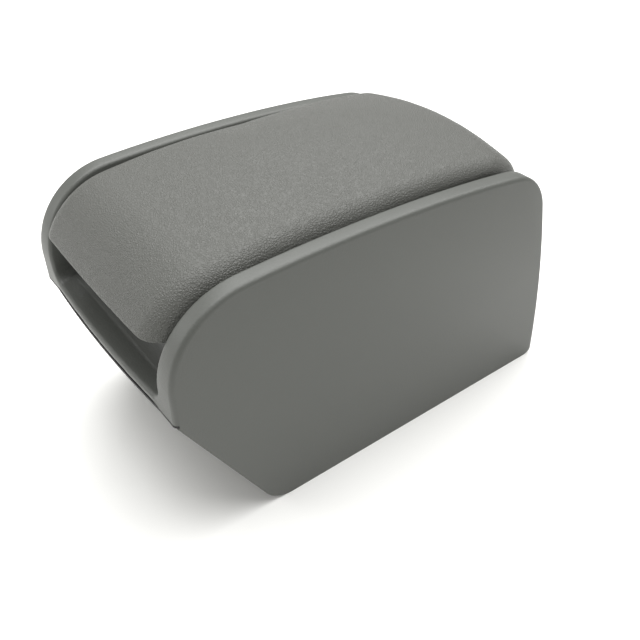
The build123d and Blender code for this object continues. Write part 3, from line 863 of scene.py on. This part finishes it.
class ARMREST_OT_fit_metalwork(Operator):
    """Fit the base plate, the hinge and the magnet catch"""

    bl_idname = "armrest.fit_metalwork"
    bl_label = "Fit metalwork"

    def execute(self, context):
        rounding = context.scene.armrest_finish.metal_rounding
        refined("base_plate", "plate_steel", rounding)
        for node in ("hinge_base_leaf", "hinge_lid_leaf", "hinge_rod", "catch_striker", "catch_magnet"):
            refined(node, "zinc_steel", rounding)
        return {"FINISHED"}


def pan_head_screw(fittings, reach):
    """A mesh of a pan-head screw with a cross recess, its seat at z = 0 and its shank below."""
    form = bmesh.new()
    shank, radius, height = fittings.shank_radius, fittings.head_radius, fittings.head_height
    profile = [(TIP_SHARE * shank, -reach), (shank, 2 * shank - reach), (shank, 0)]
    profile += [(out * radius, up * height) for out, up in HEAD_PROFILE]
    turns = [tau * step / SCREW_SIDES for step in range(SCREW_SIDES)]
    rings = [[form.verts.new((r * cos(turn), r * sin(turn), z)) for turn in turns] for r, z in profile]
    for low, high in zip(rings, rings[1:]):
        for step in range(SCREW_SIDES):
            after = (step + 1) % SCREW_SIDES
            form.faces.new((low[step], low[after], high[after], high[step]))
    form.faces.new(rings[0][::-1])
    arm, half = RECESS_ARM * radius, RECESS_HALF * radius
    quarter = [(arm, -half), (arm, half), (half, half)]
    outline = []
    for turn in range(4):
        spin = Matrix.Rotation(turn * pi / 2, 2)
        outline += [spin @ Vector(point) for point in quarter]
    mouth = [form.verts.new((point.x, point.y, height)) for point in outline]
    floor = [
        form.verts.new((RECESS_TAPER * point.x, RECESS_TAPER * point.y, RECESS_FLOOR * height))
        for point in outline
    ]
    borders = []
    for ring in (rings[-1], mouth):
        for vert, after in zip(ring, ring[1:] + ring[:1]):
            borders.append(form.edges.get((vert, after)) or form.edges.new((vert, after)))
    bmesh.ops.triangle_fill(form, use_beauty=True, edges=borders)
    for index in range(len(outline)):
        after = (index + 1) % len(outline)
        form.faces.new((mouth[index], mouth[after], floor[after], floor[index]))
    form.faces.new(floor)
    bmesh.ops.recalc_face_normals(form, faces=form.faces)
    mesh = bpy.data.meshes.new("pan_head_screw")
    form.to_mesh(mesh)
    form.free()
    mesh.shade_smooth()
    mesh.set_sharp_from_angle(angle=CREASE_ANGLE)
    return mesh


def screw_tree():
    """A tree that sets a screw on each point, turned to face outward."""
    tree, given = new_tree("Screws", {"Screw": "NodeSocketObject", "Turn": "NodeSocketRotation"})
    screw = add_node(tree, "GeometryNodeObjectInfo", {"Object": given["Screw"]})
    copies = add_node(
        tree,
        "GeometryNodeInstanceOnPoints",
        {"Points": given["Geometry"], "Instance": screw.outputs["Geometry"], "Rotation": given["Turn"]},
    )
    return end_tree(tree, copies.outputs["Instances"], finish_named("zinc_steel"))


def screw_seats(node, out, head_height):
    """The seats of a CAD node's screws, under their heads, and the length of one screw with its head."""
    form = merged_copy(node)
    left = set(form.verts)
    seats = []
    for first in form.verts:
        if first not in left:
            continue
        left.remove(first)
        island = {first}
        edge_of = [first]
        while edge_of:
            vert = edge_of.pop()
            near = {edge.other_vert(vert) for edge in vert.link_edges} & left
            left -= near
            island |= near
            edge_of += near
        corners = np.array([vert.co for vert in island])
        middle = Vector((corners.min(0) + corners.max(0)) / 2)
        depth = abs(Vector(corners.max(0) - corners.min(0)).dot(out))
        seats.append(middle + out * (depth / 2 - head_height))
    form.free()
    return seats, depth


class ARMREST_OT_drive_screws(Operator):
    """Drive the screws of the bin, the base plate, the hinge, the catch and the lid's panel"""

    bl_idname = "armrest.drive_screws"
    bl_label = "Drive screws"

    def execute(self, context):
        fittings = context.scene.armrest_fittings
        tree = screw_tree()
        outward = {
            "base_plate_screws": Vector((0, 0, 1)),
            "bin_flange_screws": Vector((0, 0, 1)),
            "striker_screws": Vector((0, 0, 1)),
            "hinge_base_screws": Vector((0, 1, 0)),
            "hinge_lid_screws": Vector((0, 0, -1)),
            "inner_panel_screws": Vector((0, 0, -1)),
        }
        for node, out in outward.items():
            seats, depth = screw_seats(node, out, fittings.head_height)
            form = pan_head_screw(fittings, depth - fittings.head_height)
            sample = bpy.data.objects.new("screw_sample", form)
            seed = bpy.data.meshes.new(node)
            seed.from_pydata(seats, [], [])
            turn = out.to_track_quat("Z", "Y").to_euler()
            group = grown(node + "_finished", seed, tree, {"Screw": sample, "Turn": turn})
            bpy.data.objects.remove(sample)
            settle(group, node, "zinc_steel")
        return {"FINISHED"}


def lay_floor(stage):
    """Lays the pale floor."""
    form = bmesh.new()
    bmesh.ops.create_grid(form, x_segments=1, y_segments=1, size=stage.floor_reach)
    floor = new_piece("floor", form)
    made, tree, shader, place = new_material("pale_matt_paper")
    body = tinted(tree, place, stage.floor, spread=0.4, strength=0.01)
    tree.links.new(body, shader.inputs["Base Color"])
    shader.inputs["Roughness"].default_value = 0.9
    shader.inputs["Specular IOR Level"].default_value = 0.2
    floor.data.materials.append(made)


def light_room(scene, stage):
    """Lights the scene with a pale room and the soft lights."""
    world = bpy.data.worlds.new("soft_room")
    world.use_nodes = True
    background = world.node_tree.nodes["Background"].inputs
    background["Color"].default_value = stage.room
    background["Strength"].default_value = stage.room_strength
    scene.world = world
    for name, (spot, aim, size, power) in LAMPS.items():
        data = bpy.data.lights.new(name, "AREA")
        data.size = size
        data.energy = power
        lamp = bpy.data.objects.new(name, data)
        lamp.location = spot
        lamp.rotation_euler = (Vector(aim) - Vector(spot)).to_track_quat("-Z", "Y").to_euler()
        scene.collection.objects.link(lamp)


def place_camera(scene, stage):
    """Places the camera where the armrest's front, one side and its top are seen."""
    data = bpy.data.cameras.new("photo_camera")
    data.lens = stage.lens
    data.sensor_width = SENSOR_WIDTH
    data.clip_start = 0.01
    camera = bpy.data.objects.new("photo_camera", data)
    a, e = stage.azimuth, stage.elevation
    back = Vector((sin(a) * cos(e), -cos(a) * cos(e), sin(e)))
    right = Vector((cos(a), sin(a), 0))
    up = back.cross(right)
    spot = Vector(stage.target) + stage.distance * back + stage.slide[0] * right + stage.slide[1] * up
    camera.matrix_world = Matrix.Translation(spot) @ Matrix((right, up, back)).transposed().to_4x4()
    scene.collection.objects.link(camera)
    scene.camera = camera


class ARMREST_OT_set_stage(Operator):
    """Set the pale floor, the soft lights and the camera"""

    bl_idname = "armrest.set_stage"
    bl_label = "Set stage"

    def execute(self, context):
        scene = context.scene
        stage = scene.armrest_stage
        scene.view_settings.view_transform = "Standard"
        lay_floor(stage)
        light_room(scene, stage)
        place_camera(scene, stage)
        return {"FINISHED"}


class ARMREST_PT_build(Panel):
    """The armrest's steps and sizes in the sidebar"""

    bl_idname = "ARMREST_PT_build"
    bl_label = "Centre Armrest"
    bl_space_type = "VIEW_3D"
    bl_region_type = "UI"
    bl_category = "Armrest"

    def draw(self, context):
        for step in STEPS:
            self.layout.operator(step.bl_idname)
        for group in GROUPS:
            box = self.layout.box()
            values = getattr(context.scene, group)
            for name in values.__annotations__:
                box.prop(values, name)


STEPS = (
    ARMREST_OT_mould_shell,
    ARMREST_OT_upholster_lid,
    ARMREST_OT_finish_lid_inside,
    ARMREST_OT_fit_bin,
    ARMREST_OT_fit_metalwork,
    ARMREST_OT_drive_screws,
    ARMREST_OT_set_stage,
)
GROUPS = {
    "armrest_lid": ArmrestLid,
    "armrest_finish": ArmrestFinish,
    "armrest_fittings": ArmrestFittings,
    "armrest_stage": ArmrestStage,
}


def register():
    """Registers the groups of sizes, the steps and the panel."""
    for made in (*GROUPS.values(), *STEPS, ARMREST_PT_build):
        bpy.utils.register_class(made)
    for name, group in GROUPS.items():
        setattr(bpy.types.Scene, name, PointerProperty(type=group))


def unregister():
    """Removes what register adds."""
    for name in GROUPS:
        delattr(bpy.types.Scene, name)
    for made in reversed((*GROUPS.values(), *STEPS, ARMREST_PT_build)):
        bpy.utils.unregister_class(made)


def main():
    """Builds the armrest step by step."""
    register()
    bpy.ops.armrest.mould_shell()
    bpy.ops.armrest.upholster_lid()
    bpy.ops.armrest.finish_lid_inside()
    bpy.ops.armrest.fit_bin()
    bpy.ops.armrest.fit_metalwork()
    bpy.ops.armrest.drive_screws()
    bpy.ops.armrest.set_stage()


if __name__ == "__main__":
    main()
